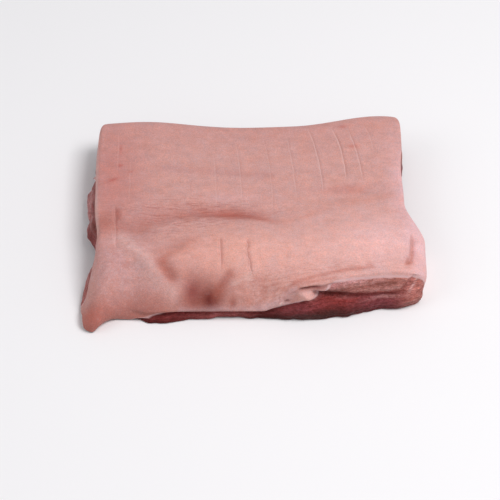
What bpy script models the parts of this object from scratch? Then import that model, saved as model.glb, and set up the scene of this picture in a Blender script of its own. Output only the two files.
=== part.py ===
"""A slab of raw pork belly, rind side up, as one closed solid. Units are metres, +Z is up.

The slab is a rough rectangle cut from the side of the animal. Its rind is one sheet on top: flat at the back, swollen
into a soft roll at the front right, and hanging over the front left down to a lobe that touches the table. Where the
rind stops, the cut face shows fat and lean in bands, and the lean bulges out low down. The underside lies flat, with
shallow grooves where the ribs were drawn.
"""

import math

import bmesh
import bpy
from mathutils import Vector, noise

MM = 0.001
NODE = "pork_belly"

# Driving sizes: the rind's nominal rectangle and the slab's thickness.
LENGTH = 292 * MM
DEPTH = 217 * MM
THICKNESS = 42 * MM

# How finely the solid is divided: squares of rind, courses of cut face, and rows of underside.
RIND_COLUMNS = 58
RIND_ROWS = 40
WALL_COURSES = 12
BASE_ROWS = 14
EDGE_CROWDING = 0.3  # 0 spaces the rind's rows evenly, more brings them closer together near the edges

# Plan of the corners: how far each is cut back, as a share of the half size, and how sharply it turns.
CORNER_CUT = 0.03
CORNER_TURN = 24

# The open cut at the front right starts here, where the rind's edge climbs from the table to the top.
CUT_START = 12 * MM
CUT_FULL = 50 * MM

# The right side is a cut face at the back and a rolled, rind-covered side in front of these two stations.
ROLL_START = 0 * MM
ROLL_FULL = -37 * MM

# Height of the rind's edge above the table, round the slab. At a corner both sides take their share off, so
# the lobe's tip, where two falls of this height meet, ends about 5 mm up.
LOBE_EDGE_HEIGHT = 14 * MM
DRAPE_EDGE_HEIGHT = 12 * MM
OPEN_EDGE_HEIGHT = 40 * MM
ROLLED_EDGE_HEIGHT = 27 * MM

# The underside.
FOOT_LIFT = 1.2 * MM  # height at which the cut face ends and turns under
FOOT_TURN = 5 * MM  # how far in from there the slab lies flat
RIB_PITCH = 42 * MM
RIB_WIDTH = 20 * MM
RIB_DEPTH = 2.6 * MM
RIB_COUNT = 6

# Swellings and hollows of the rind: place, reach along and across, turn in degrees, and height.
RELIEF = {
    "front roll": (86, -54, 84, 30, 8, 8.5),
    "roll shoulder": (-8, -58, 46, 26, -6, 5.5),
    "back right corner": (125, 98, 40, 30, 0, 3.0),
    "back left corner": (-100, 98, 45, 30, 0, 1.5),
    "back sag": (0, 98, 60, 30, 0, -2.5),
    "fold valley": (-22, -10, 52, 8, -5, -4.5),
    "fold valley, left": (-88, -20, 34, 12, 22, -3.0),
    "fold valley, right": (92, 12, 48, 10, 14, -3.0),
    "left ridge": (-94, -72, 32, 8, -48, 5.5),
    "left hollow": (-122, -52, 24, 26, 0, -2.5),
    "ridge hollow": (-73, -87, 15, 9, -45, -4.5),
    "nose of the roll": (-52, -72, 26, 13, -18, 3.0),
    "hollow, left": (-52, -94, 9, 10, 0, -4.0),
    "hollow, right": (-36, -97, 9, 8, 0, -5.0),
    "hollow's spur": (-25, -88, 4, 13, -38, -2.5),
    "right pit": (149, -64, 5, 14, -8, -4.0),
}

# Lumps of the front cut: place along it and height, reach along and up, turn in degrees, and how far it stands out.
FRONT_LUMPS = {
    "flap of fat at the split's left end": (50, 31, 10, 6, -38, 4.0),
    "curl round the front right corner": (149, 14, 9, 11, 0, 3.5),
}


def ramp(value, start, end):
    """0 up to start, 1 from end on, and a smooth rise between them."""
    t = min(max((value - start) / (end - start), 0.0), 1.0)
    return t * t * (3 - 2 * t)


def hump(value, centre, width):
    """1 at the centre, falling away smoothly on both sides."""
    return math.exp(-(((value - centre) / width) ** 2))


def mix(first, second, share):
    return first + (second - first) * share


def left_edge(y):
    waist = 4 * MM * hump(y, -38 * MM, 22 * MM)
    flare = 8 * MM * ramp(-y, 48 * MM, 110 * MM)
    swell = 1.5 * MM * hump(y, 60 * MM, 30 * MM)
    lobe_turn = 6 * MM * ramp(-y, 112 * MM, 126 * MM)
    return -LENGTH / 2 + waist - flare - swell + lobe_turn


def right_edge(y):
    rolled = 17 * MM * ramp(-y, -ROLL_START, -ROLL_FULL)
    nick = 1 * MM * hump(y, 45 * MM, 20 * MM)
    back_corner = 1.2 * MM * ramp(y, 50 * MM, 80 * MM)
    return LENGTH / 2 + rolled - nick + back_corner


def front_edge(x):
    lobe = 17 * MM * hump(x, -136 * MM, 15 * MM)
    belly = 2 * MM * hump(x, -88 * MM, 20 * MM)
    set_back = 22 * MM * ramp(x, 4 * MM, 119 * MM)
    return -DEPTH / 2 - lobe - belly + set_back


def back_edge(x):
    right_corner = 8.5 * MM * ramp(x, 44 * MM, 129 * MM)
    left_corner = 4 * MM * hump(x, -100 * MM, 42 * MM)
    sag = 1.2 * MM * hump(x, -16 * MM, 40 * MM)
    return DEPTH / 2 + right_corner + left_corner - sag


def relief(forms, x, y):
    """Height that a set of swellings and hollows adds at a place."""
    total = 0.0
    for centre_x, centre_y, along, across, turn, height in forms.values():
        dx, dy = x - centre_x * MM, y - centre_y * MM
        cos, sin = math.cos(math.radians(turn)), math.sin(math.radians(turn))
        u = (dx * cos + dy * sin) / (along * MM)
        v = (dy * cos - dx * sin) / (across * MM)
        total += height * MM * math.exp(-u * u - v * v)
    return total


def droop(nearness):
    """Share of the fall over an edge, for a nearness of 0 where the rind is flat and 1 at its very edge."""
    return 1 - (1 - nearness**2) ** 0.75


def front_fall(x):
    """(height of the rind's edge, run of its bend) along the front."""
    height = mix(LOBE_EDGE_HEIGHT, DRAPE_EDGE_HEIGHT, ramp(x, -140 * MM, -100 * MM))
    height = mix(height, OPEN_EDGE_HEIGHT, ramp(x, CUT_START, CUT_FULL))
    run = 9 * MM + 21 * MM * (1 - ramp(x, CUT_START, CUT_FULL)) + 34 * MM * (1 - ramp(x, -110 * MM, -60 * MM))
    return height, run + 5 * MM * ramp(x, 70 * MM, 110 * MM)


def left_fall(y):
    hanging = ramp(-y, 35 * MM, 112 * MM)
    return mix(OPEN_EDGE_HEIGHT - 2 * MM, LOBE_EDGE_HEIGHT, hanging), mix(5 * MM, 36 * MM, hanging)


def right_fall(y):
    rolled = ramp(-y, -ROLL_START, -ROLL_FULL)
    return mix(OPEN_EDGE_HEIGHT, ROLLED_EDGE_HEIGHT, rolled), mix(5 * MM, 26 * MM, rolled)


def back_fall(x):
    return OPEN_EDGE_HEIGHT - 3 * MM + 3 * MM * ramp(x, 30 * MM, 120 * MM), 11 * MM


def corner_cut(t, other):
    """A place t from -1 to 1, drawn in a little where the other one nears a corner."""
    return t * (1 - CORNER_CUT * abs(other) ** CORNER_TURN)


def front_to_back(a, b):
    """The y of the front edge, of the back edge, and of the rind itself at a and b."""
    x_plain = corner_cut(a, b) * LENGTH / 2
    front, back = front_edge(x_plain), back_edge(x_plain)
    return front, back, mix(front, back, (corner_cut(b, a) + 1) / 2)


def rind_point(a, b):
    """The rind at a and b, which run from -1 to 1 from left to right and from front to back."""
    front, back, y = front_to_back(a, b)
    left, right = left_edge(front_to_back(-1, b)[2]), right_edge(front_to_back(1, b)[2])
    x = mix(left, right, (corner_cut(a, b) + 1) / 2)
    falls = (
        (y - front, front_fall(x)),
        (back - y, back_fall(x)),
        (x - left, left_fall(y)),
        (right - x, right_fall(y)),
    )
    height = THICKNESS + relief(RELIEF, x, y)
    for distance, (edge_height, run) in falls:
        nearness = min(max(1 - distance / run, 0.0), 1.0)
        height *= mix(1, min(edge_height / THICKNESS, 1), droop(nearness))
    return Vector((x, y, height))


def strata(share):
    """Relief of a cut face, from 0 at the rind's edge to 1 at the table: fat shrinks back and lean swells."""
    fat = -1.2 * MM * hump(share, 0.20, 0.09) - 1.0 * MM * hump(share, 0.52, 0.06)
    lean = 1.0 * MM * hump(share, 0.38, 0.06) + 2.2 * MM * hump(share, 0.76, 0.16)
    return fat + lean


def split_height(x):
    """Height of the split between fat and lean on the front cut: high at both ends and low towards the right."""
    return mix(40 * MM, 18.5 * MM, ramp(x, 38 * MM, 112 * MM)) + 20 * MM * ramp(x, 134 * MM, 151 * MM)


def front_profile(x, share, height):
    """How far the front's cut face stands out from the rind's edge."""
    split = -4 * MM * hump(height, split_height(x), 6.5 * MM) * ramp(x, 30 * MM, 54 * MM)
    split *= 1 - 0.8 * ramp(x, 84 * MM, 118 * MM)
    foot = (4 + 7 * hump(x, 96 * MM, 34 * MM) + 2 * hump(x, 66 * MM, 18 * MM)) * MM * share
    bulge = 3 * MM * hump(share, 0.78, 0.2)
    undercut = -2 * MM * hump(share, 0.3, 0.3) - 2 * MM * hump(x, -18 * MM, 34 * MM) * share
    spread = 2.5 * MM * hump(x, -92 * MM, 16 * MM) * share
    return mix(undercut + spread, split + foot + bulge, ramp(x, CUT_START, CUT_FULL))


def right_profile(y, share):
    tuck = 1.5 * MM * hump(share, 0.35, 0.3) - 11 * MM * (1 - math.sqrt(1 - (0.96 * share) ** 2))
    return mix(strata(share), tuck, ramp(-y, -ROLL_START, -ROLL_FULL))


def left_profile(y, share):
    lobes = 9 * MM * hump(y, 25 * MM, 15 * MM) + 9 * MM * hump(y, -14 * MM, 13 * MM)
    lean_bulge = lobes * hump(share, 0.6, 0.24) * ramp(-y, -44 * MM, -34 * MM) * ramp(y, -34 * MM, -22 * MM)
    thick_edge = 4 * MM * hump(share, 0.7, 0.4) * ramp(-y, 45 * MM, 66 * MM) * ramp(y, -110 * MM, -96 * MM)
    return mix(strata(share), 0.0, ramp(-y, 35 * MM, 60 * MM)) + lean_bulge + thick_edge


def back_profile(share):
    return strata(share) - 3 * MM * share


def wall_point(edge, out, share):
    """The cut face below an edge point of the rind, where out points away from the slab in plan."""
    height = mix(edge.z, FOOT_LIFT, share)
    front = front_profile(edge.x, share, height) + relief(FRONT_LUMPS, edge.x, height)
    stand = front * max(-out.y, 0) ** 2 + right_profile(edge.y, share) * max(out.x, 0) ** 2
    stand += back_profile(share) * max(out.y, 0) ** 2 + left_profile(edge.y, share) * max(-out.x, 0) ** 2
    rough = noise.noise(Vector((edge.x, edge.y, height)) / (24 * MM)) * 1.6 * MM * math.sin(math.pi * min(share, 0.75))
    return Vector((edge.x, edge.y, 0)) + out * (stand + rough) + Vector((0, 0, height))


def crowded(index, count):
    """Place of a row from -1 to 1, with rows closer together near both ends."""
    t = 2 * index / count - 1
    return t + EDGE_CROWDING * (t - t**3)


def outward_directions(loop):
    """Unit vectors in plan that point out of a closed loop of points running anticlockwise seen from above."""
    found = []
    for i in range(len(loop)):
        along = loop[(i + 1) % len(loop)] - loop[i - 1]
        found.append(Vector((along.y, -along.x, 0)).normalized())
    return found


def rim(columns, rows):
    """Grid places of the border, anticlockwise from the front left corner."""
    front = [(i, 0) for i in range(columns)]
    right = [(columns, j) for j in range(rows)]
    back = [(i, rows) for i in range(columns, 0, -1)]
    left = [(0, j) for j in range(rows, 0, -1)]
    return front + right + back + left


def grid_of(bm, columns, rows):
    """A flat grid: its vertices, and the same ones by column and row."""
    grid = bmesh.ops.create_grid(bm, x_segments=columns, y_segments=rows, size=1.0)["verts"]
    at = {}
    for vert in grid:
        at[round((vert.co.x + 1) / 2 * columns), round((vert.co.y + 1) / 2 * rows)] = vert
    return grid, at


def add_rind(bm):
    """Makes the rind as a grid and returns its border's vertices in order."""
    at = grid_of(bm, RIND_COLUMNS, RIND_ROWS)[1]
    for (i, j), vert in at.items():
        vert.co = rind_point(crowded(i, RIND_COLUMNS), crowded(j, RIND_ROWS))
    return [at[place] for place in rim(RIND_COLUMNS, RIND_ROWS)]


def loop_edges(bm, verts):
    return [bm.edges.get((verts[i - 1], verts[i])) for i in range(len(verts))]


def add_wall(bm, border):
    """Extrudes the border down, course by course, and returns the last course's vertices in order."""
    tops = [vert.co.copy() for vert in border]
    out = outward_directions(tops)
    course = border
    for k in range(1, WALL_COURSES + 1):
        made = bmesh.ops.extrude_edge_only(bm, edges=loop_edges(bm, course))["geom"]
        fresh = {v for v in made if isinstance(v, bmesh.types.BMVert)}
        below = []
        for vert in course:
            below.append(next(e.other_vert(vert) for e in vert.link_edges if e.other_vert(vert) in fresh))
        for vert, top, direction in zip(below, tops, out):
            vert.co = wall_point(top, direction, k / WALL_COURSES)
        course = below
    return course


def base_stations():
    """Places of the underside's columns from 0 to 1, with four to each rib groove."""
    half_pitch = RIB_PITCH / 2
    first = LENGTH / 2 - half_pitch * (RIB_COUNT - 1)
    stations = [0.0, 0.06]
    for rib in range(RIB_COUNT):
        centre = first + rib * RIB_PITCH
        for offset in (-RIB_WIDTH / 2, -RIB_WIDTH / 5, RIB_WIDTH / 5, RIB_WIDTH / 2):
            stations.append((centre + offset) / LENGTH)
    return stations + [0.94, 1.0]


def along(run, place):
    """The point at a share from 0 to 1 of the length of an open run of points."""
    steps = [(second - first).length for first, second in zip(run, run[1:])]
    left = place * sum(steps)
    for first, second, step in zip(run, run[1:], steps):
        if left <= step:
            return first.lerp(second, left / step)
        left -= step
    return run[-1]


def groove_depth(station, columns, v):
    """Depth of the underside at a station: the two inner ones of each rib lie deep, behind the front quarter."""
    if station % 4 not in (3, 0) or not 2 < station < columns - 1:
        return 0.0
    return RIB_DEPTH * ramp(v, 0.25, 0.55) * (1 - ramp(v, 0.9, 0.999))


def add_base(bm, foot):
    """Fills the underside inside the foot's loop with a grid, and bridges the two."""
    points = [vert.co.copy() for vert in foot]
    inner = [p - d * FOOT_TURN for p, d in zip(points, outward_directions(points))]
    front_right, back_right = RIND_COLUMNS, RIND_COLUMNS + RIND_ROWS
    back_left = back_right + RIND_COLUMNS
    front, right = inner[: front_right + 1], inner[front_right : back_right + 1]
    back = inner[back_right : back_left + 1][::-1]
    left = (inner[back_left:] + inner[:1])[::-1]
    stations = base_stations()
    columns = len(stations) - 1
    grid, at = grid_of(bm, columns, BASE_ROWS)
    for (i, j), vert in at.items():
        u, v = stations[i], j / BASE_ROWS
        sides = along(front, u).lerp(along(back, u), v) + along(left, v).lerp(along(right, v), u)
        corners = front[0].lerp(front[-1], u).lerp(back[0].lerp(back[-1], u), v)
        vert.co = sides - corners
        vert.co.z = groove_depth(i, columns, v)
    faces = {face for vert in grid for face in vert.link_faces}
    bmesh.ops.reverse_faces(bm, faces=list(faces))
    border = [at[place] for place in rim(columns, BASE_ROWS)]
    bmesh.ops.bridge_loops(bm, edges=loop_edges(bm, foot) + loop_edges(bm, border))


def raw_pork():
    """Moist pink rind, in one plain finish."""
    material = bpy.data.materials.new("raw_pork")
    material.use_nodes = True
    shader = material.node_tree.nodes["Principled BSDF"]
    shader.inputs["Base Color"].default_value = (0.62, 0.34, 0.29, 1)
    shader.inputs["Roughness"].default_value = 0.45
    shader.inputs["Metallic"].default_value = 0.0
    return material


def centre_on_table(mesh):
    """Moves the mesh so that its box stands on the origin."""
    low = [min(v.co[axis] for v in mesh.vertices) for axis in range(3)]
    high = [max(v.co[axis] for v in mesh.vertices) for axis in range(3)]
    shift = Vector(((low[0] + high[0]) / 2, (low[1] + high[1]) / 2, low[2]))
    for vert in mesh.vertices:
        vert.co -= shift


def make_pork_belly():
    bm = bmesh.new()
    foot = add_wall(bm, add_rind(bm))
    add_base(bm, foot)
    bmesh.ops.recalc_face_normals(bm, faces=bm.faces)
    mesh = bpy.data.meshes.new(NODE)
    bm.to_mesh(mesh)
    bm.free()
    centre_on_table(mesh)
    mesh.shade_smooth()
    mesh.set_sharp_from_angle(angle=math.radians(50))
    mesh.materials.append(raw_pork())
    slab = bpy.data.objects.new(NODE, mesh)
    bpy.context.scene.collection.objects.link(slab)
    return slab


def main():
    for obj in list(bpy.data.objects):
        bpy.data.objects.remove(obj)
    make_pork_belly()


main()
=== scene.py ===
# %% [markdown]
# # A slab of raw pork belly, rind side up
#
# The real thing is one piece of meat: a thin sheet of rind on top, and below it fat and lean in bands that show only
# where the knife went through. Nothing on it is straight, so its looks live in three places: the large forms, which
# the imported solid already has, the creases and rough cut faces, which are modelled here, and the colour, which
# changes slowly over the rind and quickly over the cut. This first cell loads the solid and keeps its box.

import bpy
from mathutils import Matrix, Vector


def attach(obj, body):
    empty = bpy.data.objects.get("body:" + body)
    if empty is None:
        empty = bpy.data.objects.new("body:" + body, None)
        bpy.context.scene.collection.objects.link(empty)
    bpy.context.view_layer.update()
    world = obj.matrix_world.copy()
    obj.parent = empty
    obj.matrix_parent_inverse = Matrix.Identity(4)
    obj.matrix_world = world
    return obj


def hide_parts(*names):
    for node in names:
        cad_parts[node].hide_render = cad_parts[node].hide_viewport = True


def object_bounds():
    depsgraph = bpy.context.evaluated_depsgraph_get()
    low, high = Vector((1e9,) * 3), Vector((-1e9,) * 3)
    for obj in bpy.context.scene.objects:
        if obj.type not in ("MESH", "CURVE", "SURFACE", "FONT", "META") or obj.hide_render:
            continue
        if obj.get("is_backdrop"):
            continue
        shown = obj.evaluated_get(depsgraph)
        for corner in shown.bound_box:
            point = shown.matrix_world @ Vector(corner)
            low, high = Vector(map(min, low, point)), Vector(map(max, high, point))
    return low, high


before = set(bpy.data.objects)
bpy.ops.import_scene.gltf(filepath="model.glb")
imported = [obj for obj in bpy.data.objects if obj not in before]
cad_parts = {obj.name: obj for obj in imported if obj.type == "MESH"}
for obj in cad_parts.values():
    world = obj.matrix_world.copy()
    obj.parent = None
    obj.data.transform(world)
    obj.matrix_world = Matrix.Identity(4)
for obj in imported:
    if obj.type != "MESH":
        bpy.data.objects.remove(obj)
cad_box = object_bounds()
print("box in mm:", [[round(c * 1000, 1) for c in corner] for corner in cad_box])

# %% [markdown]
# ## Measures
#
# The slab is described by formulas in millimetres, as a butcher would measure it, and becomes metres only when the
# mesh is made. The four small functions below are all the mathematics that the form needs: a smooth step, a smooth
# hump, a blend, and a noise that wanders up and down. They take whole arrays of points, because numpy works out a
# hundred thousand of them in the time that a loop takes for a few hundred. Only the noise goes point by point.

# %% Smooth steps and humps
import math

import bmesh
import bpy
import numpy as np
from mathutils import Vector, noise

LENGTH, DEPTH, THICKNESS = 292.0, 217.0, 42.0


def ramp(value, start, end):
    """0 up to start, 1 from end on, and a smooth rise between them."""
    t = np.clip((value - start) / (end - start), 0, 1)
    return t * t * (3 - 2 * t)


def hump(value, centre, width):
    """1 at the centre, falling away smoothly on both sides."""
    return np.exp(-(((value - centre) / width) ** 2))


def mix(first, second, share):
    """The first value where the share is 0, the second where it is 1."""
    return first + (second - first) * share


def wander(points, size, seed=0.0):
    """Smooth noise from about -1 to 1 at each point, in lumps of one size in mm or of one size per axis."""
    places = np.asarray(points) / size + seed
    return np.array([noise.noise(place) for place in places.reshape(-1, 3)]).reshape(places.shape[:-1])


print("nominal slab:", LENGTH, "x", DEPTH, "x", THICKNESS, "mm")

# %% [markdown]
# ## The outline seen from above
#
# A belly slab is cut as a rectangle, but it spreads as it lies. The front left corner runs out into a lobe of loose
# rind, the front is set back where the cut face stands open, and the right side bulges where the slab rolls over.
# Each side is a straight line plus a few named departures from it, which is easier to correct against a photograph
# than a list of points.

# %% The four sides
CUT_START, CUT_FULL = 12.0, 50.0
ROLL_START, ROLL_FULL = 0.0, -37.0


def left_edge(y):
    waist = 4 * hump(y, -38, 22)
    flare = 8 * ramp(-y, 48, 110)
    swell = 1.5 * hump(y, 60, 30)
    drawn_in = 2.5 * ramp(-y, 45, 66) * ramp(y, -112, -98)
    return -LENGTH / 2 + waist - flare - swell + drawn_in


def right_edge(y):
    rolled = 17 * ramp(-y, -ROLL_START, -ROLL_FULL)
    nick = 1 * hump(y, 45, 20)
    return LENGTH / 2 + rolled - nick + 1.2 * ramp(y, 50, 80)


def front_edge(x):
    lobe = 15.1 * hump(x, -137.5, 14)
    tuck = 2.4 * hump(x, -108, 12)
    belly = 2 * hump(x, -88, 20)
    set_back = 22 * ramp(x, 4, 119)
    return -DEPTH / 2 - lobe + tuck - belly + set_back


def back_edge(x):
    right_corner = 8.5 * ramp(x, 44, 129)
    left_corner = 4 * hump(x, -100, 42)
    sag = 1.2 * hump(x, -16, 40)
    return DEPTH / 2 + right_corner + left_corner - sag


for side, place in ((left_edge, 0.0), (right_edge, -60.0), (front_edge, -147.0), (back_edge, 129.0)):
    print(side.__name__, "at", place, "mm:", round(float(side(place)), 1))

# %% [markdown]
# ## Swellings, hollows and creases of the rind
#
# Raw rind is a stiff sheet over soft fat, so it folds in long soft forms. The large ones are humps and hollows, each
# with a place, a reach along and across, a turn and a height. A crease is another thing: a knife-thin groove with a
# lip on one side, where the sheet has buckled. It follows a short run of points, and its profile is a steep side
# and a slow one, which is what gives the thin bright line beside a soft shadow.

# %% Relief of the rind
RELIEF = {  # place, reach along and across, turn in degrees, height
    "front roll": (86, -54, 84, 30, 8, 8.5),
    "roll shoulder": (-8, -58, 46, 26, -6, 5.5),
    "back right corner": (125, 98, 40, 30, 0, 3.0),
    "back left corner": (-100, 98, 45, 30, 0, 1.5),
    "back sag": (0, 98, 60, 30, 0, -2.5),
    "fold valley": (-22, -10, 52, 8, -5, -4.5),
    "fold valley, left": (-88, -20, 34, 12, 22, -3.0),
    "fold valley, right": (92, 12, 48, 10, 14, -3.0),
    "left ridge": (-94, -72, 32, 8, -48, 5.5),
    "left hollow": (-122, -52, 24, 26, 0, -2.5),
    "ridge hollow": (-73, -87, 15, 6, -45, -5.0),
    "nose of the roll": (-52, -72, 26, 13, -18, 3.0),
    "hollow, left": (-52, -94, 9, 10, 0, -4.0),
    "hollow, right": (-37, -98, 9, 8, 0, -3.4),
    "hollow's spur": (-25, -88, 4, 13, -38, -2.5),
    "right pit": (150, -62, 4, 14, -6, -2.2),
    "faint fold": (32, -77, 3, 8, 0, -1.0),
    "faint fold, left": (8, -76, 3, 9, 10, -0.8),
}
CREASES = {  # points that it runs through from front to back, depth, width of its slow side
    "sharp crease": ([(-25.7, -86), (-26.6, -66), (-27.4, -48)], 1.6, 3.0),
    "wavy crease": ([(1, -90), (-0.4, -78), (-2.3, -72), (-1.3, -66), (-3.6, -60), (-0.6, -54), (-5, -49)], 1.5, 2.4),
    "left fold": ([(-123.5, -56), (-124.8, -34), (-126.5, -4)], 1.1, 4.5),
    "pit crease": ([(141.5, -81), (144.5, -76), (148, -68), (149.6, -56), (151, -40)], 3.8, 3.6),
}
LIP_SHARE, LIP_ASIDE, LIP_WIDTH, STEEP_WIDTH = 0.3, -2.4, 1.6, 1.5


def spot(x, y, centre_x, centre_y, along, across, turn):
    """An oval that is 1 at its centre and fades out at its reach along and across, turned by degrees."""
    cos, sin = math.cos(math.radians(turn)), math.sin(math.radians(turn))
    u = ((x - centre_x) * cos + (y - centre_y) * sin) / along
    v = ((y - centre_y) * cos - (x - centre_x) * sin) / across
    return np.exp(-u * u - v * v)


def large_relief(x, y):
    return sum(height * spot(x, y, *where) for *where, height in RELIEF.values())


def crease(x, y, run, depth, width):
    """(height, groove's share) of a crease from front to back through a run of points: steep left, slow right."""
    along = np.array([point[1] for point in run])
    aside = x - np.interp(y, along, [point[0] for point in run])
    fade = ramp(y, along[0] - 1, along[0] + 9) * (1 - ramp(y, along[-1] - 6, along[-1] + 1))
    lip = LIP_SHARE * depth * hump(aside, LIP_ASIDE, LIP_WIDTH)
    groove = np.where(aside > 0, np.exp(-aside / width), hump(aside, 0, STEEP_WIDTH))
    return fade * (lip - depth * groove), fade * groove


def stroke(x, y, run, width):
    """1 on a line through the points of a run, fading out over a width beside it."""
    near = np.full(np.shape(x), np.inf)
    for (x0, y0), (x1, y1) in zip(run, run[1:]):
        along = ((x - x0) * (x1 - x0) + (y - y0) * (y1 - y0)) / ((x1 - x0) ** 2 + (y1 - y0) ** 2)
        along = np.clip(along, 0, 1)
        near = np.minimum(near, np.hypot(x - mix(x0, x1, along), y - mix(y0, y1, along)))
    return hump(near, 0, width)


print(len(RELIEF), "large forms and", len(CREASES), "creases")

# %% [markdown]
# ## The rind as one sheet
#
# The sheet is a grid of points that runs from -1 to 1 both ways. It is bent down at each side by a fall: a height
# for the rind's edge, and a run over which the bend happens. A cut side has a short run, so the edge stays crisp,
# and the front left has a long one, so the rind hangs like a cloth. Rows crowd together near the sides, where the
# form turns quickly, and the corners are drawn in a little, the lobe's the least, because soft rind has no sharp
# corner. A displacement modifier on a plane could do some of this, but it can't pull the edge down to the table and
# out into a lobe.

# %% Points of the rind
COLUMNS, ROWS = 272, 184
EDGE_CROWDING = 0.3  # at 0 the rows would be spread evenly
CORNER_CUT, LOBE_CORNER_CUT, CORNER_TURN = 0.03, 0.014, 24  # shares of the half size, and how tightly it turns
LOBE_EDGE, DRAPE_EDGE, OPEN_EDGE, ROLLED_EDGE = 14.0, 12.0, 40.0, 27.0  # heights of the rind's edge
CRISP_RUN, BACK_RUN, HANGING_RUN, ROLLED_RUN = 5, 11.0, 36, 26  # how far in from the side the bend starts
DROOP_CURVE = 0.75


def falls_at(x, y, left, right, front, back):
    """(distance from the side, height of the rind's edge there, run of the bend) for each of the four sides."""
    front_height = mix(LOBE_EDGE, DRAPE_EDGE, ramp(x, -140, -100))
    front_height = mix(front_height, OPEN_EDGE, ramp(x, CUT_START, CUT_FULL))
    closed = 21 * (1 - ramp(x, CUT_START, CUT_FULL))
    draped = 34 * (1 - ramp(x, -110, -60))
    front_run = 9 + closed + draped + 5 * ramp(x, 70, 110)
    hanging = ramp(-y, 35, 112)
    rolled = ramp(-y, -ROLL_START, -ROLL_FULL)
    return (
        (y - front, front_height, front_run),
        (back - y, OPEN_EDGE - 3 + 3 * ramp(x, 30, 120), BACK_RUN),
        (x - left, mix(OPEN_EDGE - 2, LOBE_EDGE, hanging), mix(CRISP_RUN, HANGING_RUN, hanging)),
        (right - x, mix(OPEN_EDGE, ROLLED_EDGE, rolled), mix(CRISP_RUN, ROLLED_RUN, rolled)),
    )


def rind_points(columns, rows):
    a, b = (2 * np.arange(count + 1) / count - 1 for count in (columns, rows))
    a, b = (t + EDGE_CROWDING * (t - t**3) for t in (a, b))
    a, b = np.meshgrid(a, b)
    cut = np.where((a < 0) & (b < 0), LOBE_CORNER_CUT, CORNER_CUT)
    a, b = a * (1 - cut * abs(b) ** CORNER_TURN), b * (1 - cut * abs(a) ** CORNER_TURN)
    front, back = front_edge(a * LENGTH / 2), back_edge(a * LENGTH / 2)
    y = mix(front, back, (b + 1) / 2)
    left, right = left_edge(y[:, :1]), right_edge(y[:, -1:])
    x = mix(left, right, (a + 1) / 2)
    height = THICKNESS + large_relief(x, y)
    for distance, edge_height, run in falls_at(x, y, left, right, front, back):
        nearness = np.clip(1 - distance / run, 0, 1)
        droop = 1 - (1 - nearness**2) ** DROOP_CURVE
        height = height * mix(1, np.minimum(edge_height / THICKNESS, 1), droop)
    return np.stack([x, y, height], axis=-1)


rind = rind_points(COLUMNS, ROWS)
print("rind:", rind.shape[0] * rind.shape[1], "points, up to", round(float(rind[..., 2].max()), 1), "mm high")

# %% [markdown]
# ## The cut sides
#
# Below the rind's edge the slab is a wall of fat and lean. The wall is made of courses that go down from the edge
# to the table, and each course stands out or shrinks back by a profile: fat draws in a little as it chills, lean
# swells, and on the left lobes of lean bulge out from under the rind. Fine ridges follow the bands, because meat
# tears along its fibres.

# %% Border of the rind and the way out of it
COURSES = 38


def around(columns, rows):
    """(row, column) of the border points, anticlockwise from the front left corner."""
    front = [(0, i) for i in range(columns)]
    right = [(j, columns) for j in range(rows)]
    back = [(rows, i) for i in range(columns, 0, -1)]
    left = [(j, 0) for j in range(rows, 0, -1)]
    return np.array(front + right + back + left)


def outward(loop):
    """Unit directions in plan that point out of a closed anticlockwise loop."""
    run = np.roll(loop, -2, axis=0) - np.roll(loop, 2, axis=0)
    out = np.stack([run[:, 1], -run[:, 0], np.zeros(len(loop))], axis=-1)
    return out / np.linalg.norm(out, axis=1, keepdims=True)


border = around(COLUMNS, ROWS)
edge = rind[border[:, 0], border[:, 1]]
out = outward(edge)
facing_front, facing_right = np.maximum(-out[:, 1], 0) ** 2, np.maximum(out[:, 0], 0) ** 2
facing_back, facing_left = np.maximum(out[:, 1], 0) ** 2, np.maximum(-out[:, 0], 0) ** 2
print("border of the rind:", len(edge), "points")

# %% Profiles of the cut sides
FOOT_LIFT, FOOT_TURN = 1.2, 5.0


def strata(share):
    """Relief of a cut side, from 0 at the rind to 1 at the table."""
    fat = -1.2 * hump(share, 0.20, 0.09) - 1.0 * hump(share, 0.52, 0.06)
    lean = 1.0 * hump(share, 0.38, 0.06) + 2.2 * hump(share, 0.76, 0.16)
    return fat + lean


def split_height(x):
    """Height of the split between fat and lean on the front cut: high at its ends, low in the middle."""
    places = [(38, 40), (43, 38.5), (60, 32), (88, 24), (104, 20.5), (120, 18.5), (138, 20.5), (144, 30), (151, 38)]
    return np.interp(x, *zip(*places))


def front_profile(x, share):
    """The fat stands out over the split, the lean swells under it and spreads at its foot."""
    height = mix(edge[:, 2], FOOT_LIFT, share)
    split = -5.5 * hump(height, split_height(x) - 1, 3.2) * ramp(x, 52, 64) * (1 - 0.8 * ramp(x, 84, 118))
    split -= 2.6 * hump(height, 37.2, 1.5) * ramp(x, 42, 48) * (1 - ramp(x, 70, 92))
    fat = 2.4 * ramp(edge[:, 2] - height, 0, 7) * ramp(height, split_height(x) - 2, split_height(x) + 3)
    fat = fat * ramp(x, 50, 66)
    foot = (4 + 7 * hump(x, 96, 34) + 2 * hump(x, 66, 18) + 2.5 * hump(x, 88, 9) + 3 * hump(x, 136, 11)) * share
    bulge = 3 * hump(share, 0.78, 0.2)
    undercut = -2 * hump(share, 0.3, 0.3) * ramp(x, -112, -98) - 2.4 * (hump(x, -12, 34) + hump(x, 42, 11)) * share
    spread = 4 * hump(x, -80, 24) * share + 1.5 * np.sqrt(share) * (1 - ramp(x, -118, -104))
    return mix(undercut + spread, split + fat + foot + bulge, ramp(x, CUT_START, CUT_FULL))


def right_profile(y, share):
    tuck = 1.2 * hump(share, 0.3, 0.3) - 14 * (1 - np.sqrt(1 - (0.96 * share) ** 2))
    return mix(strata(share), tuck, ramp(-y, -ROLL_START, -ROLL_FULL))


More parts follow.
